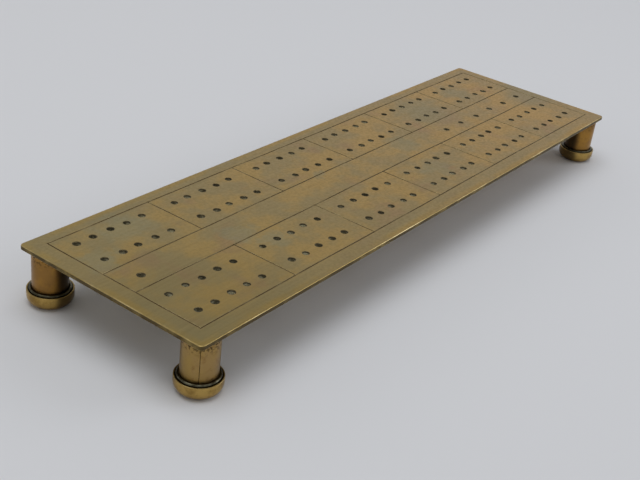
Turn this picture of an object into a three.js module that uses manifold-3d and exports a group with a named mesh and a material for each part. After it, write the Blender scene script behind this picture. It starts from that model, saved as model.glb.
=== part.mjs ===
// Cribbage board of sheet brass: one long plate, drilled and scribed, on four turned feet.
// Millimetres, +Z up. +X runs along the board. The origin is on the table, under the board's middle.
import * as THREE from 'three';
import { mergeVertices } from 'three/addons/utils/BufferGeometryUtils.js';
import Module from 'manifold-3d';

// ---- Driving dimensions ----

// The plate: a strip about 3 in wide and 10 1/2 in long, 1/16 in thick.
const PLATE_LENGTH = 267.4;
const PLATE_WIDTH = 76.8;
const PLATE_THICKNESS = 1.6;
const CORNER_RADIUS = 1.5;
const EDGE_BEVEL = 0.25;
const BOARD_HEIGHT = 20.6;

// The marking out: a scribed field with a lane down the middle and six cells on each side of it.
// It was set out by hand, so it lies a little off the plate's middle, and its cells aren't equal.
const FIELD_LENGTH = 255.2;
const FIELD_WIDTH = 64.8;
const FIELD_X = 0.8;
const FIELD_Y = 0.8;
const LANE_LINES = [-6.6, 7.5];
const CELLS_PER_SIDE = 6;
const CELL_DRIFT = 1.6;
const LINE_WIDTH = 0.5;
const LINE_DEPTH = 0.25;

// The peg holes: two rows of five in a cell, and a line of holes in the lane. Rows are measured
// from the middle of the field, and a cell's holes from the line at its start.
const HOLE_DIAMETER = 2.5;
const HOLES_PER_ROW = 5;
const HOLE_PITCH = 7.15;
const FIRST_HOLE = 6.4;
const BACK_ROWS = [13.4, 26.5];
const FRONT_ROWS = [-13.6, -25.6];
const LANE_ROW = -0.4;
const START_HOLE_X = -119.4;
const LANE_HOLES = 6;
const LANE_FIRST_X = 58.3;
const LANE_PITCH = 12.45;
const HOLE_STRAY = 0.25;
const HOLE_SIDES = 10;

// The feet: a tube between the plate and a turned base, with a ring round its lower end.
const FOOT_INSET = [7, 6.3];
const COLUMN_RADIUS = 5.85;
const COLUMN_WALL = 1;
const BASE_RADIUS = 7.55;
const BASE_HEIGHT = 5.2;
const BASE_FLAT_RADIUS = 4.7;
const BOWL_HEIGHT = 3.3;
const LIP_WIDTH = 0.45;
const DISH_DEPTH = 0.6;
const RING_WIDTH = 0.65;
const RING_HEIGHT = 0.95;
const FOOT_SIDES = 24;

// The hidden fixing: a boss under the plate, and a screw up through the base.
const BOSS_RADIUS = 4.3;
const BOSS_LENGTH = 8;
const SCREW_RADIUS = 1.25;
const SCREW_CLEARANCE = 0.35;
const SCREW_LENGTH = 12;
const HEAD_RADIUS = 2.4;
const HEAD_HEIGHT = 1.5;
const HEAD_RECESS = 0.5;
const SLOT_WIDTH = 0.6;
const SLOT_DEPTH = 0.6;
const SCREW_SIDES = 16;

// Pieces that touch on the real board are kept this far apart.
const GAP = 0.3;

// ---- Heights and lengths that follow from them ----

const plateUnderside = BOARD_HEIGHT - PLATE_THICKNESS;
const dishFloor = BASE_HEIGHT - DISH_DEPTH;
const columnFoot = dishFloor + GAP;
const headSeat = HEAD_RECESS + HEAD_HEIGHT + GAP;

// Where a cell's line crosses the board. The drift is widest at the middle and nothing at the ends.
const cellLine = (n) => -FIELD_LENGTH / 2 + (n * FIELD_LENGTH) / CELLS_PER_SIDE
  + CELL_DRIFT * Math.sin((n * Math.PI) / CELLS_PER_SIDE);

const wasm = await Module();
wasm.setup();

// ---- Finishes ----

const brass = (name, color, roughness) =>
  new THREE.MeshStandardMaterial({ name, color, roughness, metalness: 1 });

const plateBrass = brass('plate_brass', 0x9a8350, 0.42);
const columnBrass = brass('column_brass', 0x9c7a40, 0.36);
const baseBrass = brass('base_brass', 0xa88a45, 0.3);
const fixingBrass = brass('fixing_brass', 0xa08548, 0.4);

// ---- Joining and cutting ----

function toSolid(geometry) {
  const bare = geometry.index ? geometry.toNonIndexed() : geometry.clone();
  bare.deleteAttribute('normal');
  bare.deleteAttribute('uv');
  const merged = mergeVertices(bare, 1e-4);
  return new wasm.Manifold(new wasm.Mesh({
    numProp: 3,
    vertProperties: new Float32Array(merged.attributes.position.array),
    triVerts: new Uint32Array(merged.index.array),
  }));
}

function toGeometry(solid) {
  const mesh = solid.getMesh();
  const geometry = new THREE.BufferGeometry();
  geometry.setAttribute('position', new THREE.BufferAttribute(mesh.vertProperties, 3));
  geometry.setIndex(new THREE.BufferAttribute(mesh.triVerts, 1));
  geometry.computeVertexNormals();
  return geometry;
}

// A turned piece: its profile is a list of [radius, height] points, revolved about +Z.
function turned(profile, sides) {
  const points = profile.map(([radius, height]) => new THREE.Vector2(radius, height));
  return new THREE.LatheGeometry(points, sides).rotateX(Math.PI / 2);
}

// ---- The plate ----

// Every peg hole's centre. Hand drilling lets each one stray a little from its mark.
function pegHoles() {
  const marks = [];
  for (const y of [...BACK_ROWS, ...FRONT_ROWS]) {
    for (let cell = 0; cell < CELLS_PER_SIDE; cell++) {
      for (let n = 0; n < HOLES_PER_ROW; n++) {
        marks.push([cellLine(cell) + FIRST_HOLE + n * HOLE_PITCH, y]);
      }
    }
  }
  marks.push([START_HOLE_X, LANE_ROW]);
  for (let n = 0; n < LANE_HOLES; n++) {
    marks.push([LANE_FIRST_X + n * LANE_PITCH, LANE_ROW]);
  }
  return marks.map(([x, y], n) => [
    FIELD_X + x + HOLE_STRAY * Math.sin(2.4 * n),
    FIELD_Y + y + HOLE_STRAY * Math.cos(3.7 * n),
  ]);
}

// The outline of a rounded rectangle, inset from the plate's edge.
function plateOutline(inset) {
  const x = PLATE_LENGTH / 2 - inset;
  const y = PLATE_WIDTH / 2 - inset;
  const r = CORNER_RADIUS - inset;
  const outline = new THREE.Shape();
  outline.moveTo(-x + r, -y);
  outline.absarc(x - r, -y + r, r, -Math.PI / 2, 0);
  outline.absarc(x - r, y - r, r, 0, Math.PI / 2);
  outline.absarc(-x + r, y - r, r, Math.PI / 2, Math.PI);
  outline.absarc(-x + r, -y + r, r, Math.PI, 1.5 * Math.PI);
  return outline;
}

// One peg hole as a pin that is cut away, a little longer than the plate is thick.
function holePin([x, y]) {
  const pin = new THREE.CylinderGeometry(HOLE_DIAMETER / 2, HOLE_DIAMETER / 2, 2 * PLATE_THICKNESS, HOLE_SIDES);
  pin.rotateX(Math.PI / 2);
  pin.translate(x, y, plateUnderside + PLATE_THICKNESS / 2);
  return pin;
}

// A scribed line is a V groove: a bar of square section set on its edge, level with the top.
function scribedLine([x1, y1], [x2, y2]) {
  const length = Math.hypot(x2 - x1, y2 - y1) + LINE_WIDTH;
  const section = new THREE.Shape([
    new THREE.Vector2(-LINE_WIDTH / 2, 0),
    new THREE.Vector2(0, -LINE_DEPTH),
    new THREE.Vector2(LINE_WIDTH / 2, 0),
    new THREE.Vector2(0, LINE_DEPTH),
  ]);
  const bar = new THREE.ExtrudeGeometry(section, { depth: length, bevelEnabled: false });
  bar.translate(0, 0, -length / 2);
  bar.rotateX(Math.PI / 2);
  bar.rotateZ(Math.atan2(y2 - y1, x2 - x1) + Math.PI / 2);
  bar.translate(FIELD_X + (x1 + x2) / 2, FIELD_Y + (y1 + y2) / 2, BOARD_HEIGHT);
  return bar;
}

function scribedLines() {
  const x = FIELD_LENGTH / 2;
  const y = FIELD_WIDTH / 2;
  const lines = [-x, x].map((end) => scribedLine([end, -y], [end, y]));
  for (const [lane, side] of [[LANE_LINES[0], -y], [LANE_LINES[1], y]]) {
    lines.push(scribedLine([-x, side], [x, side]));
    lines.push(scribedLine([-x, lane], [x, lane]));
    for (let n = 1; n < CELLS_PER_SIDE; n++) {
      lines.push(scribedLine([cellLine(n), lane], [cellLine(n), side]));
    }
  }
  return lines;
}

function boardPlate() {
  const blank = new THREE.ExtrudeGeometry(plateOutline(EDGE_BEVEL), {
    depth: PLATE_THICKNESS - 2 * EDGE_BEVEL,
    bevelThickness: EDGE_BEVEL,
    bevelSize: EDGE_BEVEL,
    bevelSegments: 1,
    curveSegments: 5,
  });
  blank.translate(0, 0, plateUnderside + EDGE_BEVEL);
  let plate = toSolid(blank);
  for (const cutter of [...pegHoles().map(holePin), ...scribedLines()]) {
    plate = plate.subtract(toSolid(cutter));
  }
  return toGeometry(plate);
}

// ---- The pieces of a foot, each on its own axis ----

function columnTube() {
  const top = plateUnderside - GAP;
  const bore = COLUMN_RADIUS - COLUMN_WALL;
  return turned([[bore, columnFoot], [COLUMN_RADIUS, columnFoot], [COLUMN_RADIUS, top], [bore, top],
    [bore, columnFoot]], FOOT_SIDES);
}

// A half-round ring that lies in the base's dish, round the end of the column.
function columnRing() {
  const inner = COLUMN_RADIUS + GAP;
  const outer = inner + RING_WIDTH;
  const crown = columnFoot + RING_HEIGHT;
  return turned([[inner, columnFoot], [outer, columnFoot], [outer, crown - 0.35], [outer - 0.25, crown - 0.08],
    [inner + 0.15, crown], [inner, crown], [inner, columnFoot]], FOOT_SIDES);
}

// The base: a flat to stand on, a bowl, a short upright side, a thin lip and a dished top, with
// a stepped hole through the middle for the screw.
function turnedBase() {
  const headHole = HEAD_RADIUS + GAP;
  const shankHole = SCREW_RADIUS + SCREW_CLEARANCE;
  const bowlWidth = BASE_RADIUS - BASE_FLAT_RADIUS;
  const bowl = [1, 2, 3, 4].map((step) => {
    const turn = (step / 4) * (Math.PI / 2);
    return [BASE_FLAT_RADIUS + bowlWidth * Math.sin(turn), BOWL_HEIGHT * (1 - Math.cos(turn))];
  });
  return turned([
    [headHole, 0], [BASE_FLAT_RADIUS, 0], ...bowl,
    [BASE_RADIUS, BASE_HEIGHT - 0.2], [BASE_RADIUS - 0.15, BASE_HEIGHT],
    [BASE_RADIUS - LIP_WIDTH, BASE_HEIGHT], [BASE_RADIUS - LIP_WIDTH, dishFloor],
    [shankHole, dishFloor], [shankHole, headSeat], [headHole, headSeat], [headHole, 0],
  ], FOOT_SIDES);
}

function threadedBoss() {
  const top = plateUnderside - GAP;
  const bore = SCREW_RADIUS + SCREW_CLEARANCE;
  return turned([[bore, top - BOSS_LENGTH], [BOSS_RADIUS, top - BOSS_LENGTH], [BOSS_RADIUS, top], [bore, top],
    [bore, top - BOSS_LENGTH]], SCREW_SIDES);
}

// A slotted screw: its head sits in the base, with the slot facing down.
function fixingScrew() {
  const neck = HEAD_RECESS + HEAD_HEIGHT;
  const tip = neck + SCREW_LENGTH;
  const blank = turned([[0, HEAD_RECESS], [HEAD_RADIUS, HEAD_RECESS], [HEAD_RADIUS, neck], [SCREW_RADIUS, neck],
    [SCREW_RADIUS, tip - 0.5], [SCREW_RADIUS - 0.5, tip], [0, tip]], SCREW_SIDES);
  const slot = new THREE.BoxGeometry(3 * HEAD_RADIUS, SLOT_WIDTH, 2 * SLOT_DEPTH);
  slot.translate(0, 0, HEAD_RECESS);
  return toGeometry(toSolid(blank).subtract(toSolid(slot)));
}

// ---- The assembly ----

function piece(name, geometry, material) {
  const mesh = new THREE.Mesh(geometry, material);
  mesh.name = name;
  return mesh;
}

const board = new THREE.Group();
board.add(piece('board_plate', boardPlate(), plateBrass));

const footX = PLATE_LENGTH / 2 - FOOT_INSET[0];
const footY = PLATE_WIDTH / 2 - FOOT_INSET[1];
const corners = { front_left: [-1, -1], front_right: [1, -1], back_left: [-1, 1], back_right: [1, 1] };
for (const [corner, [sideX, sideY]] of Object.entries(corners)) {
  const foot = new THREE.Group();
  foot.position.set(sideX * footX, sideY * footY, 0);
  foot.add(piece(`foot_column_${corner}`, columnTube(), columnBrass));
  foot.add(piece(`foot_ring_${corner}`, columnRing(), baseBrass));
  foot.add(piece(`foot_base_${corner}`, turnedBase(), baseBrass));
  foot.add(piece(`foot_boss_${corner}`, threadedBoss(), fixingBrass));
  foot.add(piece(`foot_screw_${corner}`, fixingScrew(), fixingBrass));
  board.add(foot);
}

export default board;
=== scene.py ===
# %% [markdown]
# # A brass cribbage board on four turned feet
#
# Cribbage is scored by moving pegs along rows of holes. This board is a strip of sheet brass,
# scribed with a point, drilled, and set on four feet made of tube and turned brass. The drilled
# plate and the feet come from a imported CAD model, which fixes every size and place. This lesson
# remakes the pieces that show as fine meshes in those places, and gives them the finish of old
# brass that has been handled and wiped for many years.

# %% Load the frame
import math
import random

import bmesh
import bpy
from mathutils import Matrix, Vector


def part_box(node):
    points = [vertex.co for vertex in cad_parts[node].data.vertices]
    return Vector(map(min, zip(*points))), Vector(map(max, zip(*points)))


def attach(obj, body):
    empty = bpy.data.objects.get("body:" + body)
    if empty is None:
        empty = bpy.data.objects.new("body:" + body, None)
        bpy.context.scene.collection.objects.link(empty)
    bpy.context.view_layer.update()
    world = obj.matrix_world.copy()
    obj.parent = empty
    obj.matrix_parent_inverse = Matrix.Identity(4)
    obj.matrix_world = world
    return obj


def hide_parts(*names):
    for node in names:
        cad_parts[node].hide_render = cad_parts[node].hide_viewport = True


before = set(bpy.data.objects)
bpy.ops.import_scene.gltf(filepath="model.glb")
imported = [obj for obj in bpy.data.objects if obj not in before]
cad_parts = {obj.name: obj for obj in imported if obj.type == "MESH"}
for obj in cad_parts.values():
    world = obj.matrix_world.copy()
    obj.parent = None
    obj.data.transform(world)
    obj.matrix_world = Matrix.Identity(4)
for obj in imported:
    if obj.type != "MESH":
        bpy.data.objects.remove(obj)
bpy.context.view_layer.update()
MM = 0.001
random.seed(121)
print("pieces in the frame:", len(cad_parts))

# %% [markdown]
# ## Sizes taken from the frame
#
# The plate's box gives its length, width, top and underside, and each base's box gives the axis of
# a foot. Only what a box can't say is written here: the marking out, which repeats the CAD
# model's own dimensions. It was set out by hand, so its field lies a little off the plate's
# middle and its cells aren't quite equal.

# %% Sizes
plate_low, plate_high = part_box("board_plate")
PLATE_TOP = plate_high.z
PLATE_UNDER = plate_low.z
HALF_LENGTH = plate_high.x
HALF_WIDTH = plate_high.y
FIELD_MIDDLE = Vector((0.8, 0.8)) * MM
FIELD_X = 127.6 * MM
FIELD_Y = 32.4 * MM
LANE_LINES = (-6.6 * MM, 7.5 * MM)
CELLS = 6
CELL_DRIFT = 1.6 * MM
CORNERS = ("front_left", "front_right", "back_left", "back_right")
print(f"plate {2000 * HALF_LENGTH:.1f} x {2000 * HALF_WIDTH:.1f} mm, top at {1000 * PLATE_TOP:.1f} mm")


def cell_line(number):
    """How far along the field a cell's line crosses it, from the field's middle."""
    share = number / CELLS
    return FIELD_X * (2 * share - 1) + CELL_DRIFT * math.sin(share * math.pi)


def foot_axis(corner):
    """The point on the floor under the middle of a foot."""
    low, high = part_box(f"foot_base_{corner}")
    return Vector(((low.x + high.x) / 2, (low.y + high.y) / 2, 0))


# %% [markdown]
# ## The camera
#
# The camera stands off the board's near left corner, a little above it, with a lens slightly
# longer than normal. It is held with a small tilt, so the board seems to climb to the right. A
# constraint could aim it at an empty. A matrix does the same with nothing more in the scene, and
# the tilt is then one more turn, about the line of sight.

# %% Camera
CAMERA_AT = Vector((-320, -198, 190)) * MM
LOOKS_AT = Vector((-59.6, -22.8, 20.6)) * MM
CAMERA_ROLL = math.radians(7.2)
LENS = 60.6


def aimed(at, target):
    """A place and a turn that look from one point at another, as a camera or a light does."""
    return Matrix.Translation(at) @ (target - at).to_track_quat("-Z", "Y").to_matrix().to_4x4()


camera_data = bpy.data.cameras.new("camera")
camera_data.lens = LENS
camera = bpy.data.objects.new("camera", camera_data)
bpy.context.scene.collection.objects.link(camera)
bpy.context.scene.camera = camera
camera.matrix_world = aimed(CAMERA_AT, LOOKS_AT) @ Matrix.Rotation(CAMERA_ROLL, 4, "Z")
print("camera to board:", round((LOOKS_AT - CAMERA_AT).length * 1000), "mm")

# %% [markdown]
# ## Colours and nodes
#
# Every finish below is a small graph of nodes. Two helpers keep the graphs readable: one turns a
# colour as seen on a screen into the linear values that nodes use, and one adds a node with its
# settings and its links in a single call.


# %% Colour and node helpers
def linear(hex_colour):
    """Turns an sRGB hex colour into the linear values that nodes use."""
    channels = [int(hex_colour[i:i + 2], 16) / 255 for i in (1, 3, 5)]
    return [c / 12.92 if c <= 0.04045 else ((c + 0.055) / 1.055) ** 2.4 for c in channels] + [1]


def add(tree, kind, settings=None, inputs=None, out=None):
    """Adds a node, sets it, sets or links its inputs, and gives back the node or one output."""
    node = tree.nodes.new(kind)
    for name, value in (settings or {}).items():
        setattr(node, name, value)
    for name, value in (inputs or {}).items():
        if isinstance(value, bpy.types.NodeSocket):
            tree.links.new(value, node.inputs[name])
        else:
            node.inputs[name].default_value = value
    return node if out is None else node.outputs[out]


# %% [markdown]
# ## The light and the floor
#
# Brass has hardly any colour of its own in the dark: it shows what stands round it. So the light
# comes from large soft panels, and the world is a plain grey: dark at floor level, like a room seen
# past the edge of a table, brightest a third of the way up, duller above that, and lighter again
# overhead. A picture of a room could stand there instead, but a ramp by height has all that the
# brass needs. The floor is pale card, so the polished metal stands out against it.

# %% World
SKY_STRENGTH = 1.04
SKY_FLOOR, SKY_TOP = "#707078", "#B4B6B8"
SKY_BANDS = ((0.12, "#84848C"), (0.36, "#E2E2E5"), (0.52, "#A3A2A0"), (0.68, "#767470"))

world = bpy.data.worlds.new("studio")
bpy.context.scene.world = world
world.use_nodes = True
sky = world.node_tree
sky.nodes.clear()
direction = add(sky, "ShaderNodeTexCoord", out="Generated")
height = add(sky, "ShaderNodeSeparateXYZ", inputs={0: direction}, out="Z")
shade = add(sky, "ShaderNodeValToRGB", inputs={0: height})
shade.color_ramp.elements[0].color = linear(SKY_FLOOR)
shade.color_ramp.elements[1].color = linear(SKY_TOP)
for level, tone in SKY_BANDS:
    shade.color_ramp.elements.new(level).color = linear(tone)
glow = add(sky, "ShaderNodeBackground", inputs={0: shade.outputs[0], 1: SKY_STRENGTH}, out=0)
add(sky, "ShaderNodeOutputWorld", inputs={0: glow})
print("bands in the sky:", len(shade.color_ramp.elements))


# %% Soft panels
def soft_panel(name, at, size, watts, colour):
    """A square light that faces the board."""
    data = bpy.data.lights.new(name, "AREA")
    data.size = size
    data.energy = watts
    data.color = linear(colour)[:3]
    panel = bpy.data.objects.new(name, data)
    bpy.context.scene.collection.objects.link(panel)
    panel.matrix_world = aimed(Vector(at), Vector())
    print(f"{name}: {size} m square, {watts} W")


soft_panel("overhead_panel", at=(-0.1, 0.15, 1.5), size=1.3, watts=10.8, colour="#FBFCFF")
soft_panel("window_side", at=(1.3, -1.05, 0.85), size=0.8, watts=5, colour="#EEF3FF")

# %% Floor
FLOOR_HALF = 4

bm = bmesh.new()
bmesh.ops.create_grid(bm, x_segments=1, y_segments=1, size=FLOOR_HALF)
floor_mesh = bpy.data.meshes.new("floor")
bm.to_mesh(floor_mesh)
bm.free()
floor = bpy.data.objects.new("floor", floor_mesh)
bpy.context.scene.collection.objects.link(floor)
# Matt card, pale and a little cool: it has no shine, so it shows only light and shadow.
card = bpy.data.materials.new("pale_card")
card.use_nodes = True
card_shader = card.node_tree.nodes["Principled BSDF"]
card_shader.inputs["Base Color"].default_value = linear("#DADBDD")
card_shader.inputs["Roughness"].default_value = 0.85
floor_mesh.materials.append(card)
bpy.context.scene.view_settings.view_transform = "Standard"
print(f"floor {2 * FLOOR_HALF} m square")

# %% [markdown]
# ## Old brass
#
# Brass is copper and zinc. Clean, it is a warm yellow metal. Air turns it first duller and
# browner, then greenish grey, and wiping keeps the open parts bright while corners, holes and
# scribed lines keep their tarnish. It could be painted on as a picture. Here it is grown from
# noise at the sizes that it really has, in millimetres: patches the size of a thumb, mottling of a
# millimetre or two, and the fine lines that rubbing leaves. Every finish is a base colour with
# others laid over it, each by its own mask.

# %% Patterns shared by the brass finishes
SMOOTH = {"interpolation_type": "SMOOTHSTEP"}


def per_mm(size):
    """A texture scale that gives a pattern with features of this size in millimetres."""
    return 1000 / size


def start_finish(name):
    """An empty material with a metal shader, and the coordinates that its patterns use."""
    material = bpy.data.materials.new(name)
    material.use_nodes = True
    tree = material.node_tree
    tree.nodes.clear()
    where = add(tree, "ShaderNodeTexCoord", out="Object")
    shader = add(tree, "ShaderNodeBsdfPrincipled", inputs={"Metallic": 1.0})
    add(tree, "ShaderNodeOutputMaterial", inputs={0: shader.outputs[0]})
    return material, tree, where, shader


def patches(tree, where, size, low, high, detail=4.0):
    """A soft mask, 0 to 1, of patches of about this size in millimetres."""
    cloud = add(tree, "ShaderNodeTexNoise", inputs={
        "Vector": where, "Scale": per_mm(size), "Detail": detail, "Roughness": 0.6}, out=0)
    return add(tree, "ShaderNodeMapRange", SMOOTH, {0: cloud, 1: low, 2: high}, out=0)


def fine_lines(tree, where, stretch, size, detail):
    """Lines left by rubbing or turning: noise this fine across them, in millimetres, and long."""
    # Real ones are under a tenth of a millimetre, too fine to show, so these are drawn coarser.
    pulled = add(tree, "ShaderNodeMapping", inputs={"Vector": where, "Scale": stretch}, out=0)
    return add(tree, "ShaderNodeTexNoise", inputs={
        "Vector": pulled, "Scale": per_mm(size), "Detail": detail}, out=0)


def layered(tree, colour, layers, way="MIX"):
    """Lays colours over a first one, each by a mask and a strength, as a mix or as a tint."""
    for mask, strength, laid in layers:
        share = add(tree, "ShaderNodeMath", {"operation": "MULTIPLY"}, {0: mask, 1: strength}, out=0)
        colour = add(tree, "ShaderNodeMix", {"data_type": "RGBA", "blend_type": way},
                     {0: share, 6: colour, 7: laid}, out=2)
    return colour


print("texture scale for a pattern of 20 mm:", per_mm(20), "and of 0.5 mm:", per_mm(0.5))

# %% [markdown]
# ### The plate's finish
#
# Rolled sheet brass, rubbed along its length. The cells and the lane have been handled most and
# are golden. The margin outside the scribed border is duller, but hands have worn its outermost
# strip bright again here and there. The brass is a little darker and cooler towards the start, and
# a shade darker round the front left foot. Grey-green blooms, most as big as a coin, lie where it
# was touched wet. Each of these could be a painted mask. Here distances give them: to the border,
# to the edge, along the board, and to the middle of each bloom. They stay exact however close the
# eye comes, and a bloom is moved by changing one number.

# %% Blooms and other places on the plate
BLOOMS = (  # x, y and radius, in millimetres, of the grey blooms on the top
    (-103, 25, 13), (-122, 15, 9), (69, 20, 18), (31, 3, 11), (23, -17, 10),
    (-77, -2, 8), (-70, -13, 8), (128, -2, 20), (-20, 8, 4), (101, 22, 9))
BLOOM_CORE = 0.35
RAGGED_BY = 22 * MM
MARGIN_SOFT = 2 * MM
WEAR_STARTS, WEAR_FULL = 3.6 * MM, 1.2 * MM
NEAR_FOOT_WITHIN, NEAR_FOOT_CORE = 60 * MM, 26 * MM


def bloom_mask(tree, where):
    """A mask of the blooms, with ragged edges because noise moves every point a little first."""
    cloud = add(tree, "ShaderNodeTexNoise", inputs={
        "Vector": where, "Scale": per_mm(9), "Detail": 5.0, "Roughness": 0.62}, out="Color")
    centred = add(tree, "ShaderNodeVectorMath", {"operation": "SUBTRACT"},
                  {0: cloud, 1: (0.5, 0.5, 0.5)}, out=0)
    shift = add(tree, "ShaderNodeVectorMath", {"operation": "MULTIPLY"},
                {0: centred, 1: (RAGGED_BY, RAGGED_BY, 0)}, out=0)
    moved = add(tree, "ShaderNodeVectorMath", {"operation": "ADD"}, {0: where, 1: shift}, out=0)
    total = 0.0
    for x, y, radius in BLOOMS:
        away = add(tree, "ShaderNodeVectorMath", {"operation": "DISTANCE"},
                   {0: moved, 1: (x * MM, y * MM, PLATE_TOP)}, out="Value")
        spot = add(tree, "ShaderNodeMapRange", SMOOTH,
                   {0: away, 1: radius * MM, 2: BLOOM_CORE * radius * MM}, out=0)
        total = add(tree, "ShaderNodeMath", {"operation": "MAXIMUM"}, {0: total, 1: spot}, out=0)
    return total


def outside(tree, where, middle, half_x, half_y):
    """How far a point on the top is outside a rectangle or, below zero, how far inside it."""
    across = add(tree, "ShaderNodeVectorMath", {"operation": "SUBTRACT"},
                 {0: where, 1: (*middle, 0)}, out=0)
    folded = add(tree, "ShaderNodeVectorMath", {"operation": "ABSOLUTE"}, {0: across}, out=0)
    past = add(tree, "ShaderNodeVectorMath", {"operation": "SUBTRACT"},
               {0: folded, 1: (half_x, half_y, 0)}, out=0)
    sides = add(tree, "ShaderNodeSeparateXYZ", inputs={0: past})
    return add(tree, "ShaderNodeMath", {"operation": "MAXIMUM"},
               {0: sides.outputs["X"], 1: sides.outputs["Y"]}, out=0)


def near_front_left_foot(tree, where):
    """A mask of the corner round the front left foot: the foot and what is near."""
    away = add(tree, "ShaderNodeVectorMath", {"operation": "DISTANCE"},
               {0: where, 1: foot_axis("front_left")}, out="Value")
    return add(tree, "ShaderNodeMapRange", SMOOTH, {0: away, 1: NEAR_FOOT_WITHIN, 2: NEAR_FOOT_CORE}, out=0)


print("blooms on the plate:", len(BLOOMS))


# %% Plate finish
def plate_brass():
    """Rolled sheet brass: a satin sheen, golden where it is handled, olive and grey elsewhere."""
    material, tree, where, shader = start_finish("rubbed_sheet_brass")
    past_border = outside(tree, where, FIELD_MIDDLE, FIELD_X, FIELD_Y)
    margin = add(tree, "ShaderNodeMapRange", SMOOTH,
                 {0: past_border, 1: -MARGIN_SOFT, 2: MARGIN_SOFT}, out=0)
    past_edge = outside(tree, where, (0, 0), HALF_LENGTH, HALF_WIDTH)
    worn_rim = add(tree, "ShaderNodeMapRange", SMOOTH,
                   {0: past_edge, 1: -WEAR_STARTS, 2: -WEAR_FULL, 4: 0.75}, out=0)
    bloom = bloom_mask(tree, where)
    olive = linear("#B49C6D")
    colour = layered(tree, linear("#CFA762"), (
        (patches(tree, where, 20, 0.4, 0.6), 0.8, olive),
        (patches(tree, where, 15, 0.52, 0.72), 0.7, linear("#BC956A")),
        (margin, 0.7, olive),
        (worn_rim, patches(tree, where, 22, 0.36, 0.6), linear("#CDA456")),
        (bloom, 0.6, linear("#AAA07E"))))

    along = add(tree, "ShaderNodeSeparateXYZ", inputs={0: where}, out="X")
    near_start = add(tree, "ShaderNodeMapRange",
                     inputs={0: along, 1: HALF_LENGTH, 2: -HALF_LENGTH}, out=0)
    colour = layered(tree, colour, (
        (near_start, 1, linear("#E5F2F8")),
        (near_front_left_foot(tree, where), 1, linear("#F1F0E8"))), way="MULTIPLY")

    mottle = patches(tree, where, 1.2, 0.35, 0.7, detail=7.0)
    rubbing = fine_lines(tree, where, (0.04, 1, 1), 0.7, detail=3.0)
    streak = add(tree, "ShaderNodeMapRange", inputs={0: rubbing, 1: 0.3, 2: 0.7}, out=0)
    colour = layered(tree, colour, (
        (mottle, 0.34, linear("#84734A")),
        (streak, 0.08, linear("#F0D9A0"))))
    tree.links.new(colour, shader.inputs["Base Color"])

    satin = add(tree, "ShaderNodeMapRange", inputs={0: mottle, 3: 0.34, 4: 0.46}, out=0)
    dulled = add(tree, "ShaderNodeMath", {"operation": "MULTIPLY_ADD"},
                 {0: bloom, 1: 0.05, 2: satin}, out=0)
    tree.links.new(dulled, shader.inputs["Roughness"])

    # Rolled sheet is never quite flat: long shallow waves bend what it reflects.
    waves = add(tree, "ShaderNodeTexNoise", inputs={
        "Vector": where, "Scale": per_mm(28), "Detail": 1.0}, out=0)
    uneven = add(tree, "ShaderNodeBump", inputs={
        "Strength": 0.35, "Distance": 0.35 * MM, "Height": waves}, out=0)
    scratched = add(tree, "ShaderNodeBump", inputs={
        "Strength": 0.14, "Distance": 0.02 * MM, "Height": rubbing, "Normal": uneven}, out=0)
    tree.links.new(scratched, shader.inputs["Normal"])
    return material


sheet_brass = plate_brass()
print(sheet_brass.name, "has", len(sheet_brass.node_tree.nodes), "nodes")

# %% [markdown]
# ### Tarnish in the lines and holes
#
# A cloth can't reach into a scribed line or a peg hole, so old polish and oxide stay there. A line
# is brown and rough, with a duller shoulder on each side that the cloth only skims. A hole is
# nearly black round its worn mouth, and its wall is painted paler lower down: pale polish there,
# with painted light where light falls in.
# One finish could do for all of these. Each has its own, because the faces are there anyway and
# the lines and holes are what the eye goes to.

# %% Line and hole finishes
DARK_TO, PALE_FROM = 0.25 * MM, 0.8 * MM


def dark_finish(name, dark, lighter, roughness, grain):
    """A tarnish with metal showing through it in specks of this size in millimetres."""
    material, tree, where, shader = start_finish(name)
    speck = patches(tree, where, grain, 0.45, 0.75)
    colour = layered(tree, linear(dark), ((speck, 1, linear(lighter)),))
    tree.links.new(colour, shader.inputs["Base Color"])
    shader.inputs["Roughness"].default_value = roughness
    pitting = add(tree, "ShaderNodeTexNoise", inputs={
        "Vector": where, "Scale": per_mm(0.5), "Detail": 2.0}, out=0)
    relief = add(tree, "ShaderNodeBump", inputs={
        "Strength": 0.4, "Distance": 0.05 * MM, "Height": pitting}, out=0)
    tree.links.new(relief, shader.inputs["Normal"])
    return material


def hole_wall():
    """Old polish in a peg hole: dark at the top, paler lower down with pale polish and painted light,
    chalky and hardly metallic.
    """
    material, tree, where, shader = start_finish("hole_wall_tarnish_and_light")
    height = add(tree, "ShaderNodeSeparateXYZ", inputs={0: where}, out="Z")
    # Paler lower down: pale polish, with painted light where light falls into the hole.
    low_down = add(tree, "ShaderNodeMapRange", SMOOTH,
                   {0: height, 1: PLATE_TOP - DARK_TO, 2: PLATE_TOP - PALE_FROM}, out=0)
    hole_by_hole = patches(tree, where, 5, 0.42, 0.6)
    pale = layered(tree, linear("#6A644A"), ((hole_by_hole, 1, linear("#D4CEAC")),))
    colour = layered(tree, linear("#4A4230"), ((low_down, 1, pale),))
    tree.links.new(colour, shader.inputs["Base Color"])
    shader.inputs["Metallic"].default_value = 0.3
    shader.inputs["Roughness"].default_value = 0.6
    return material


# Oxide and polish packed in a scribed line: brown and matt, so the line reads as if inked.
line_tarnish = dark_finish("line_tarnish", "#5A482E", "#8E7E5A", 0.6, 9)
hole_tarnish_and_light = hole_wall()
# Brass that the cloth only skims, beside a line: greener than the top, it softens the line.
shoulder_brass = dark_finish("line_shoulder_brass", "#94865E", "#B8AC84", 0.42, 1.0)
# Polish caked in a hole's worn mouth: nearly black, so every hole has a crisp edge.
mouth_tarnish = dark_finish("hole_mouth_tarnish", "#4E4632", "#827656", 0.5, 1.0)
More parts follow.
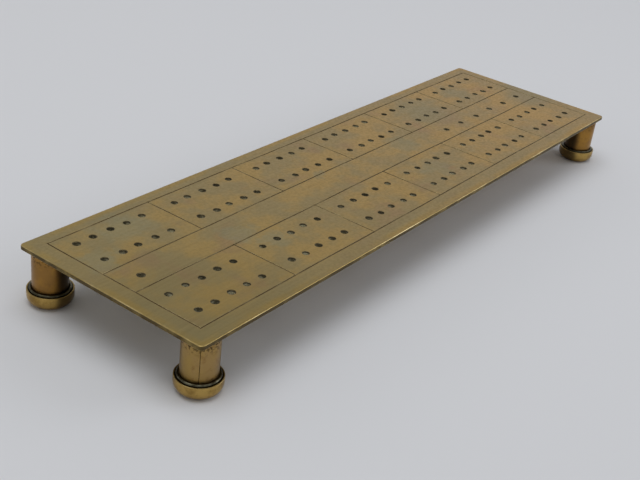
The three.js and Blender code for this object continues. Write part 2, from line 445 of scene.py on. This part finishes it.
# The strip's sheared edge, never polished: dull and brown, so the plate's thickness shows.
edge_tarnish = dark_finish("sheared_edge_tarnish", "#5E5034", "#94804E", 0.5, 6)
# A corner that every hand rubs: smoother and lighter, with a painted highlight, a thin bright line
# round the edge.
arris_wear_and_highlight = dark_finish("rubbed_arris_and_highlight", "#A68F58", "#E6D29C", 0.34, 24)
plate_finishes = [sheet_brass, line_tarnish, hole_tarnish_and_light, shoulder_brass, edge_tarnish, arris_wear_and_highlight,
                  mouth_tarnish]
print("finishes for the plate:", [finish.name for finish in plate_finishes])

# %% [markdown]
# ## Making pieces
#
# Each new piece is a bmesh, turned into an object that stays at the origin with its place in its
# mesh, as the CAD pieces are. A round piece could be a screw modifier on a curve. Here it is an
# outline spun by an operator, which gives a closed solid at once. Smooth shading with sharp edges
# kept at real corners makes it look turned without thousands of faces.

# %% Piece helpers
CORNER_ANGLE = math.radians(32)
MERGE_WITHIN = 0.001 * MM
UPRIGHT = {"cent": (0, 0, 0), "axis": (0, 0, 1), "dvec": (0, 0, 0)}


def shade_crisply(mesh):
    """Shades a mesh smooth except at its real corners."""
    mesh.shade_smooth()
    mesh.set_sharp_from_angle(angle=CORNER_ANGLE)


def make_object(name, bm, materials):
    """Links a bmesh as an object at the origin."""
    mesh = bpy.data.meshes.new(name)
    bm.to_mesh(mesh)
    bm.free()
    for material in materials:
        mesh.materials.append(material)
    shade_crisply(mesh)
    piece = bpy.data.objects.new(name, mesh)
    bpy.context.scene.collection.objects.link(piece)
    return piece


def hand_over(piece, node):
    """The finished piece stands for a CAD node and rides on the board's one body."""
    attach(piece, "root")
    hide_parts(node)
    print(f"{piece.name}: {len(piece.data.polygons)} faces")


def turn(outline, at, steps=72, closed=True):
    """Spins an outline of (radius, height) points about an upright axis into a solid."""
    bm = bmesh.new()
    verts = [bm.verts.new((radius, 0, height)) for radius, height in outline]
    ends = verts[1:] + verts[:1] if closed else verts[1:]
    edges = [bm.edges.new(pair) for pair in zip(verts, ends)]
    bmesh.ops.spin(bm, geom=verts + edges, **UPRIGHT, angle=2 * math.pi, steps=steps, use_merge=True)
    bmesh.ops.remove_doubles(bm, verts=bm.verts, dist=MERGE_WITHIN)
    bmesh.ops.recalc_face_normals(bm, faces=bm.faces)
    bmesh.ops.translate(bm, verts=bm.verts, vec=at)
    return bm


def arc(centre, radii, start, end, steps):
    """Points on a round or oval stretch of an outline, from one angle to another in degrees."""
    points = []
    for step in range(steps + 1):
        angle = math.radians(start + (end - start) * step / steps)
        points.append((centre[0] + radii[0] * math.cos(angle), centre[1] + radii[1] * math.sin(angle)))
    return points


print("sharp edges are kept from", round(math.degrees(CORNER_ANGLE)), "degrees")

# %% [markdown]
# ## The plate
#
# The real plate is a strip of sheet with filed corners and edges, then scribed, then drilled. The
# mesh is made in the same order: a blank with rounded corners and softened edges, then cutters
# for the lines and the holes. The cutters are real solids and the Boolean modifier takes them
# away, because no mesh operator cuts a hole of its own, and the dark finish on a cutter's faces
# stays on the walls that it leaves.

# %% The blank
CORNER = 1.5 * MM
ARRIS = 0.34 * MM
FLAT_IS_OVER, ARRIS_IS_OVER = 0.95, 0.35  # how far a face's normal points up or down, out of 1

bm = bmesh.new()
bmesh.ops.create_grid(bm, x_segments=1, y_segments=1, size=1)
bmesh.ops.scale(bm, vec=(HALF_LENGTH, HALF_WIDTH, 1), verts=bm.verts)
bmesh.ops.bevel(bm, geom=bm.verts[:], offset=CORNER, offset_type="OFFSET", affect="VERTICES",
                segments=10, profile=0.5, material=-1)
bmesh.ops.translate(bm, vec=(0, 0, PLATE_UNDER), verts=bm.verts)
grown = bmesh.ops.extrude_face_region(bm, geom=bm.faces[:])
top_verts = [item for item in grown["geom"] if isinstance(item, bmesh.types.BMVert)]
bmesh.ops.translate(bm, vec=(0, 0, PLATE_TOP - PLATE_UNDER), verts=top_verts)
bmesh.ops.recalc_face_normals(bm, faces=bm.faces)
rims = [edge for edge in bm.edges if abs(edge.verts[0].co.z - edge.verts[1].co.z) < 0.01 * MM]
bmesh.ops.bevel(bm, geom=rims, offset=ARRIS, offset_type="OFFSET", affect="EDGES",
                segments=4, profile=0.5, material=-1)
# Upper and lower arris faces get the lighter arris finish: real wear with a painted highlight.
for face in bm.faces:
    upward = abs(face.normal.z)
    finish = arris_wear_and_highlight if upward > ARRIS_IS_OVER else edge_tarnish
    if upward > FLAT_IS_OVER:
        finish = sheet_brass
    face.material_index = plate_finishes.index(finish)
plate = make_object("scribed_plate", bm, plate_finishes)
print("blank:", len(plate.data.polygons), "faces")

# %% [markdown]
# A scribed line is a V with a worn shoulder on each side. It could be drawn in the finish, but a
# real groove catches the light as the eye moves. The cutter is that section swept along the line.
# A hand-held scriber never runs quite straight, so the sweep wanders by about a tenth of a
# millimetre. Lines that cross go on two different cutters, because one cutter mustn't cut itself.

# %% Line cutters
SHOULDER = 0.32 * MM
SHOULDER_START = 0.001 * MM
SHOULDER_DEPTH = 0.05 * MM
LINE_HALF = 0.2 * MM
LINE_DEPTH = 0.22 * MM
CUTTER_RISE = 0.3 * MM
WANDER = 0.11 * MM
LONG_WAVE, SHORT_WAVE = 23 * MM, 7 * MM
LINE_STEP = 6 * MM
NEXT_PHASE = 1.7


def join_into(bm, part):
    """Adds a finished part's faces to a larger bmesh."""
    carrier = bpy.data.meshes.new("carrier")
    part.to_mesh(carrier)
    part.free()
    bm.from_mesh(carrier)
    bpy.data.meshes.remove(carrier)


def cut_line(start, end, phase):
    """One wandering V bar, from start to end on the plate's top."""
    start, end = [Vector((*(FIELD_MIDDLE + Vector(point)), PLATE_TOP)) for point in (start, end)]
    run = (end - start).normalized()
    side = Vector((-run.y, run.x, 0))
    length = (end - start).length + 2 * LINE_HALF
    right = [(LINE_HALF, -SHOULDER_DEPTH), (SHOULDER, SHOULDER_START), (SHOULDER, CUTTER_RISE)]
    left = [(-across, up) for across, up in reversed(right)]
    bar = bmesh.new()
    ring = []
    for across, up in [*left, (0, -LINE_DEPTH), *right]:
        ring.append(bar.verts.new(start - run * LINE_HALF + side * across + Vector((0, 0, up))))
    grown = bmesh.ops.extrude_face_region(bar, geom=[bar.faces.new(ring)])
    far_end = [item for item in grown["geom"] if isinstance(item, bmesh.types.BMVert)]
    bmesh.ops.translate(bar, vec=run * length, verts=far_end)
    along = [edge for edge in bar.edges if edge.calc_length() > 0.9 * length]
    cuts = max(2, round(length / LINE_STEP))
    bmesh.ops.subdivide_edges(bar, edges=along, cuts=cuts, use_grid_fill=True)
    for vert in bar.verts:
        far = (vert.co - start).dot(run)
        swing = math.sin(far / LONG_WAVE + phase) + 0.5 * math.sin(far / SHORT_WAVE + 3 * phase)
        vert.co += side * WANDER * swing
    bmesh.ops.recalc_face_normals(bar, faces=bar.faces)
    return bar


def line_cutter(name, lines):
    """One cutter from many lines, with the faces of the V marked as tarnished."""
    bm = bmesh.new()
    for number, (start, end) in enumerate(lines):
        join_into(bm, cut_line(start, end, NEXT_PHASE * number))
    finishes = [shoulder_brass, line_tarnish]
    for face in bm.faces:
        in_v = all(vert.co.z < PLATE_TOP - 0.8 * SHOULDER_DEPTH for vert in face.verts)
        face.material_index = finishes.index(line_tarnish if in_v else shoulder_brass)
    return make_object(name, bm, finishes)


long_lines = [((-FIELD_X, y), (FIELD_X, y)) for y in (-FIELD_Y, *LANE_LINES, FIELD_Y)]
short_lines = [((x, -FIELD_Y), (x, FIELD_Y)) for x in (-FIELD_X, FIELD_X)]
for cell in range(1, CELLS):
    x = cell_line(cell)
    short_lines += [((x, -FIELD_Y), (x, LANE_LINES[0])), ((x, LANE_LINES[1]), (x, FIELD_Y))]
cutters = [line_cutter("long_line_cutter", long_lines), line_cutter("short_line_cutter", short_lines)]
print("scribed lines:", len(long_lines) + len(short_lines))

# %% [markdown]
# The peg holes are drilled by hand along the scribed cells, so each one strays a little, by the same
# small sum that the CAD model uses. Each cutter is a drill's shape, spun from its outline: a
# straight wall, a small burr cleared underneath, and a worn mouth, wider on some holes than on
# others. A plain cylinder would leave a mouth too sharp to catch a highlight.

# %% Hole cutter
HOLE_RADIUS = 1.25 * MM
RADIUS_SHARE = (0.86, 0.94)  # the drilled wall is a little narrower than the worn mouth
MOUTH_WEAR = (0.16, 0.34)
UNDER_CLEAR = 0.15 * MM
DRILL_STEPS = 20
STRAY = 0.25 * MM
ROWS = (13.4 * MM, 26.5 * MM, -13.6 * MM, -25.6 * MM)
FIRST_HOLE = 6.4 * MM
HOLE_PITCH = 7.15 * MM
HOLES_PER_ROW = 5
LANE_ROW = -0.4 * MM
START_X = -119.4 * MM
LANE_FIRST_X = 58.3 * MM
LANE_PITCH = 12.45 * MM
LANE_HOLES = 6
hole_finishes = [hole_tarnish_and_light, mouth_tarnish]


def drill(at, radius, mouth):
    """A drill's shape through the plate, with its mouth's faces marked as caked with polish."""
    mouth_start = PLATE_TOP - 0.6 * mouth
    below, above = PLATE_UNDER - MM, PLATE_TOP + MM
    wide = radius + UNDER_CLEAR
    outline = [(0, below), (wide, below), (wide, PLATE_UNDER), (radius, PLATE_UNDER + UNDER_CLEAR),
               (radius, mouth_start), (radius + 0.35 * mouth, PLATE_TOP - 0.2 * mouth),
               (radius + mouth, PLATE_TOP), (radius + mouth, above), (0, above)]
    bm = turn(outline, at, DRILL_STEPS, closed=False)
    for face in bm.faces:
        in_mouth = face.calc_center_median().z > mouth_start
        face.material_index = hole_finishes.index(mouth_tarnish if in_mouth else hole_tarnish_and_light)
    return bm


marks = [(cell_line(cell) + FIRST_HOLE + number * HOLE_PITCH, y)
         for y in ROWS for cell in range(CELLS) for number in range(HOLES_PER_ROW)]
marks += [(START_X, LANE_ROW)]
marks += [(LANE_FIRST_X + number * LANE_PITCH, LANE_ROW) for number in range(LANE_HOLES)]

bm = bmesh.new()
for number, mark in enumerate(marks):
    stray = Vector((math.sin(2.4 * number), math.cos(3.7 * number))) * STRAY
    centre = (FIELD_MIDDLE + Vector(mark) + stray).to_3d()
    radius = HOLE_RADIUS * random.uniform(*RADIUS_SHARE)
    mouth = random.uniform(*MOUTH_WEAR) * MM
    join_into(bm, drill(centre, radius, mouth))
cutters.append(make_object("hole_cutter", bm, hole_finishes))
print("peg holes:", len(marks))

# %% [markdown]
# The Boolean modifiers could stay live, but the carved plate is kept as its own mesh, so that
# nothing depends on the cutters, and they can go. They leave long thin faces round the holes, and
# weighted normals keep the big flat top from shading unevenly beside them.


# %% Cut the plate
def carve(piece, cutters):
    """Takes each cutter away from the piece, then keeps the result as its mesh."""
    for cutter in cutters:
        cut = piece.modifiers.new(cutter.name, "BOOLEAN")
        cut.object = cutter
        cut.operation = "DIFFERENCE"
        cut.solver = "EXACT"
        cut.material_mode = "TRANSFER"
    ready = piece.evaluated_get(bpy.context.evaluated_depsgraph_get())
    mesh = bpy.data.meshes.new_from_object(ready)
    piece.modifiers.clear()
    piece.data = mesh
    for cutter in cutters:
        bpy.data.objects.remove(cutter)
    shade_crisply(mesh)


carve(plate, cutters)
level = plate.modifiers.new("level_top", "WEIGHTED_NORMAL")
level.keep_sharp = True
hand_over(plate, "board_plate")

# %% [markdown]
# ## The feet
#
# Each foot is a tube that spaces the plate off a turned base, with a thin ring in the base's dish
# round the end of the tube. All of it is brass, and each part has aged in its own way. The tube is
# warm and brown with dark spots under the plate, and the turned base is brighter. The dish is
# nearly black: tarnish, with a painted reflection of the plate's shaded underside. The sides that
# face in under the board are darkened by a mask: painted shade, and a painted reflection of the
# shadowed floor beneath the board.

# %% Foot finishes
UNDER_SHADE_STARTS, UNDER_SHADE_FULL = 1.4 * MM, 4.2 * MM
SPOTS_REACH = 5 * MM


def painted_under_shade(tree, where):
    """A mask of painted shade: the side of each foot that faces in under the board, darkened for its
    shadow and the shaded floor it reflects.
    """
    diagonal = Vector((1, 1, 0)).normalized()
    folded = add(tree, "ShaderNodeVectorMath", {"operation": "ABSOLUTE"}, {0: where}, out=0)
    outward = add(tree, "ShaderNodeVectorMath", {"operation": "DOT_PRODUCT"},
                  {0: folded, 1: diagonal}, out="Value")
    axis_out = foot_axis("back_right").dot(diagonal)
    return add(tree, "ShaderNodeMapRange", SMOOTH,
               {0: outward, 1: axis_out - UNDER_SHADE_STARTS, 2: axis_out - UNDER_SHADE_FULL}, out=0)


def mark_round(tree, where, shader, stretch, size, detail, smooth, rough):
    """Fine lines round a foot, in how rough it is and as relief a few hundredths of a mm deep."""
    lines = fine_lines(tree, where, (stretch, stretch, 1), size, detail)
    sheen = add(tree, "ShaderNodeMapRange", inputs={0: lines, 3: smooth, 4: rough}, out=0)
    relief = add(tree, "ShaderNodeBump", inputs={
        "Strength": 0.3, "Distance": 0.03 * MM, "Height": lines}, out=0)
    tree.links.new(sheen, shader.inputs["Roughness"])
    tree.links.new(relief, shader.inputs["Normal"])


def column_brass():
    """Rolled tube: warm brown-gold, paler on the front left foot, with dark spots near its top."""
    material, tree, where, shader = start_finish("rolled_tube_brass")
    patchy = patches(tree, where, 9, 0.42, 0.62)
    stained = layered(tree, linear("#A67C3C"), ((patchy, 1, linear("#946F3C")),))
    front_left_tone = layered(tree, linear("#A68950"), ((patchy, 1, linear("#A28554")),))
    height = add(tree, "ShaderNodeSeparateXYZ", inputs={0: where}, out="Z")
    near_top = add(tree, "ShaderNodeMapRange", SMOOTH,
                   {0: height, 1: PLATE_UNDER - SPOTS_REACH, 2: PLATE_UNDER}, out=0)
    colour = layered(tree, stained, (
        (near_front_left_foot(tree, where), 1, front_left_tone),
        (patches(tree, where, 2.2, 0.5, 0.8), 1, linear("#85643A")),
        (near_top, patches(tree, where, 0.9, 0.5, 0.58), linear("#3E3020")),
        # Painted shade on the side that faces in under the board: its shadow and the dark floor it
        # reflects.
        (painted_under_shade(tree, where), 0.9, linear("#3A3126"))))
    tree.links.new(colour, shader.inputs["Base Color"])
    mark_round(tree, where, shader, stretch=0.15, size=0.5, detail=3.0, smooth=0.26, rough=0.42)
    return material


def turned_brass():
    """Lathe-turned brass: brighter and yellower than the tube, with the tool's rings round it."""
    material, tree, where, shader = start_finish("turned_brass")
    colour = layered(tree, linear("#BC9C58"), (
        (patches(tree, where, 5, 0.42, 0.66), 1, linear("#967840")),
        (patches(tree, where, 1.5, 0.52, 0.85), 1, linear("#80622F")),
        # Painted shade on the side of the base that faces in under the board.
        (painted_under_shade(tree, where), 0.75, linear("#4A3C2A"))))
    tree.links.new(colour, shader.inputs["Base Color"])
    mark_round(tree, where, shader, stretch=0.1, size=0.45, detail=2.0, smooth=0.24, rough=0.4)
    return material


tube_brass = column_brass()
bowl_brass = turned_brass()
# Wax and oxide in the base's dish, with a painted reflection of the plate's shaded underside: nearly
# black, a dark circle round the column.
dish_tarnish_and_reflection = dark_finish("dish_tarnish_and_reflection", "#2A241C", "#4A3E2A", 0.45, 1.5)
# The ring in the dish, half tarnished but smooth: a greyish arc between two dark ones.
ring_brass = dark_finish("ring_brass", "#4C4838", "#7A7864", 0.3, 2.0)
# Screws and bosses, out of sight and never wiped: a dull, speckled yellow.
screw_brass = dark_finish("screw_brass", "#8C7442", "#C2A263", 0.4, 1.4)
foot_finishes = (tube_brass, bowl_brass, dish_tarnish_and_reflection, ring_brass, screw_brass)
print("finishes for the feet:", [finish.name for finish in foot_finishes])

# %% [markdown]
# ### The columns
#
# The tube was rolled from sheet and soldered, so each column has a thin seam from end to end. It
# could be a dark line in the finish. Here the spin stops just short of a full turn and leaves the
# seam open, so it is dark from whichever side it is seen. The feet are alike, so their sizes all
# come from one.

# %% Foot sizes
base_low, base_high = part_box("foot_base_front_left")
column_low, column_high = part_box("foot_column_front_left")
BASE_RADIUS = (base_high.x - base_low.x) / 2
BASE_TOP = base_high.z
COLUMN_RADIUS = (column_high.x - column_low.x) / 2
COLUMN_WALL = 1 * MM
DISH_FLOOR = BASE_TOP - 0.6 * MM
HAIR = 0.02 * MM  # kept between pieces that touch
print(f"base {2000 * BASE_RADIUS:.1f} mm across, column {2000 * COLUMN_RADIUS:.1f} mm across")

# %% Columns
SEAM = {"front_left": 221, "front_right": 60, "back_left": 330, "back_right": 200}
SEAM_WIDTH = 0.17 * MM
END_ROUND = 0.15 * MM


def tube_with_seam(at, seam_angle):
    """A rolled tube from the dish to the plate, with its joint facing the given way."""
    bottom, top = DISH_FLOOR + HAIR, PLATE_UNDER - HAIR
    inner, corner = COLUMN_RADIUS - COLUMN_WALL, COLUMN_RADIUS - END_ROUND
    outline = [(inner, bottom), *arc((corner, bottom + END_ROUND), (END_ROUND, END_ROUND), -90, 0, 3),
               *arc((corner, top - END_ROUND), (END_ROUND, END_ROUND), 0, 90, 3), (inner, top)]
    bm = bmesh.new()
    verts = [bm.verts.new((radius, 0, height)) for radius, height in outline]
    edges = [bm.edges.new(pair) for pair in zip(verts, verts[1:] + verts[:1])]
    slit = SEAM_WIDTH / COLUMN_RADIUS
    bmesh.ops.spin(bm, geom=verts + edges, **UPRIGHT, angle=2 * math.pi - slit, steps=96)
    bmesh.ops.holes_fill(bm, edges=[edge for edge in bm.edges if edge.is_boundary], sides=0)
    bmesh.ops.recalc_face_normals(bm, faces=bm.faces)
    facing = Matrix.Rotation(math.radians(seam_angle) + slit / 2, 3, "Z")
    bmesh.ops.rotate(bm, verts=bm.verts, cent=(0, 0, 0), matrix=facing)
    bmesh.ops.translate(bm, verts=bm.verts, vec=at)
    return bm


for corner in CORNERS:
    bm = tube_with_seam(foot_axis(corner), SEAM[corner])
    column = make_object(f"tube_column_{corner}", bm, [tube_brass])
    hand_over(column, f"foot_column_{corner}")

# %% [markdown]
# ### The rings
#
# A thin ring lies in each dish, close round the tube. A torus would be simplest, but this ring has
# a flat underside to lie on, so a half-round section is spun instead.

# %% Rings
RING_TO_COLUMN = 0.05 * MM
RING_TO_LIP = 0.3 * MM
LIP = 0.45 * MM


def half_round_ring(at):
    """A ring that is flat below and round above."""
    inner, outer = COLUMN_RADIUS + RING_TO_COLUMN, BASE_RADIUS - LIP - RING_TO_LIP
    low, high = DISH_FLOOR + HAIR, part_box("foot_ring_front_left")[1].z
    middle, half = (inner + outer) / 2, (outer - inner) / 2
    outline = [(inner, low), (outer, low), *arc((middle, high - half), (half, half), 0, 180, 8)]
    return turn(outline, at)


for corner in CORNERS:
    ring = make_object(f"half_round_ring_{corner}", half_round_ring(foot_axis(corner)), [ring_brass])
    hand_over(ring, f"foot_ring_{corner}")

# %% [markdown]
# ### The bases
#
# A base is one lathe job: a bowl with a flat to stand on, a short side, a thin lip, a dished top,
# and a stepped hole for the screw and its head. A stack of cylinders would miss the bowl's curve, so
# the whole outline is spun at once, and each face then gets its finish by where it lies.

# %% Bases
FLAT_RADIUS = 4.7 * MM
BOWL_RISE = 3.3 * MM
SCREW_HOLE = 1.6 * MM
HEAD_HOLE = 2.7 * MM
HEAD_SEAT = 2.3 * MM
LIP_ROUND = 0.16 * MM
LIP_INNER_ROUND = 0.1 * MM
DISH_CORNER = 0.15 * MM
base_finishes = [bowl_brass, dish_tarnish_and_reflection, arris_wear_and_highlight]


def turned_base(at):
    """A base with its bowl, lip, dish and stepped hole."""
    lip_in = BASE_RADIUS - LIP
    bowl = arc((FLAT_RADIUS, BOWL_RISE), (BASE_RADIUS - FLAT_RADIUS, BOWL_RISE), -90, 0, 10)
    lip_out = arc((BASE_RADIUS - LIP_ROUND, BASE_TOP - LIP_ROUND), (LIP_ROUND, LIP_ROUND), 0, 90, 3)
    lip_back = arc((lip_in + LIP_INNER_ROUND, BASE_TOP - LIP_INNER_ROUND),
                   (LIP_INNER_ROUND, LIP_INNER_ROUND), 90, 180, 2)
    dish = [(lip_in, DISH_FLOOR + DISH_CORNER), (lip_in - DISH_CORNER, DISH_FLOOR)]
    hole = [(SCREW_HOLE, DISH_FLOOR), (SCREW_HOLE, HEAD_SEAT), (HEAD_HOLE, HEAD_SEAT)]
    bm = turn([(HEAD_HOLE, 0), *bowl, *lip_out, *lip_back, *dish, *hole], at, steps=96)
    for face in bm.faces:
        middle = face.calc_center_median()
        # The lip's rounded top gets the arris finish, a painted highlight on worn brass.
        finish = arris_wear_and_highlight if middle.z > BASE_TOP - LIP_ROUND else bowl_brass
        # The dish: tarnish and a painted reflection of the shaded underside of the plate.
        if (middle - at).xy.length < lip_in + LIP_INNER_ROUND / 2 and middle.z > HEAD_SEAT:
            finish = dish_tarnish_and_reflection
        face.material_index = base_finishes.index(finish)
    return bm


for corner in CORNERS:
    base = make_object(f"turned_base_{corner}", turned_base(foot_axis(corner)), base_finishes)
    hand_over(base, f"foot_base_{corner}")

# %% [markdown]
# ## The hidden fixing
#
# A slotted screw comes up through each base into a boss under the plate. Its head shows only from
# below. The CAD model's plain screw could stay, but a softened rim and a real slot are quickly
# made: one more outline is spun, and a block is taken out of it. The bosses are shut inside the
# columns, so they stay as the CAD model made them.

# %% Screws and bosses
HEAD_ROUND = 0.2 * MM
HEAD_HEIGHT = 1.5 * MM
SHANK_RADIUS = 1.25 * MM
SHANK_POINT = 0.5 * MM
SLOT_WIDTH = 0.6 * MM
SLOT_DEPTH = 0.6 * MM
SCREW_STEPS = 40


def slotted_screw(at, node, turned_by):
    """A cheese-head screw, head down, with a slot cut across the head."""
    low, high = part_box(node)
    head, neck = (high.x - low.x) / 2, low.z + HEAD_HEIGHT
    rim = arc((head - HEAD_ROUND, low.z + HEAD_ROUND), (HEAD_ROUND, HEAD_ROUND), -90, 0, 3)
    point = [(SHANK_RADIUS, high.z - SHANK_POINT), (SHANK_RADIUS - SHANK_POINT, high.z)]
    outline = [(HAIR, low.z), *rim, (head, neck), (SHANK_RADIUS, neck), *point, (HAIR, high.z)]
    name = node.replace("foot_screw", "slotted_screw")
    screw = make_object(name, turn(outline, at, SCREW_STEPS), [screw_brass])
    bm = bmesh.new()
    bmesh.ops.create_cube(bm, size=1)
    bmesh.ops.scale(bm, verts=bm.verts, vec=(4 * head, SLOT_WIDTH, 2 * SLOT_DEPTH))
    bmesh.ops.rotate(bm, verts=bm.verts, cent=(0, 0, 0), matrix=Matrix.Rotation(turned_by, 3, "Z"))
    bmesh.ops.translate(bm, verts=bm.verts, vec=at + Vector((0, 0, low.z)))
    carve(screw, [make_object("slot_cutter", bm, [screw_brass])])
    return screw


for corner in CORNERS:
    node = f"foot_screw_{corner}"
    screw = slotted_screw(foot_axis(corner), node, random.uniform(0, math.pi))
    hand_over(screw, node)
    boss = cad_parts[f"foot_boss_{corner}"]
    boss.data.materials.clear()
    boss.data.materials.append(screw_brass)
print("bosses kept from the frame:", len(CORNERS))
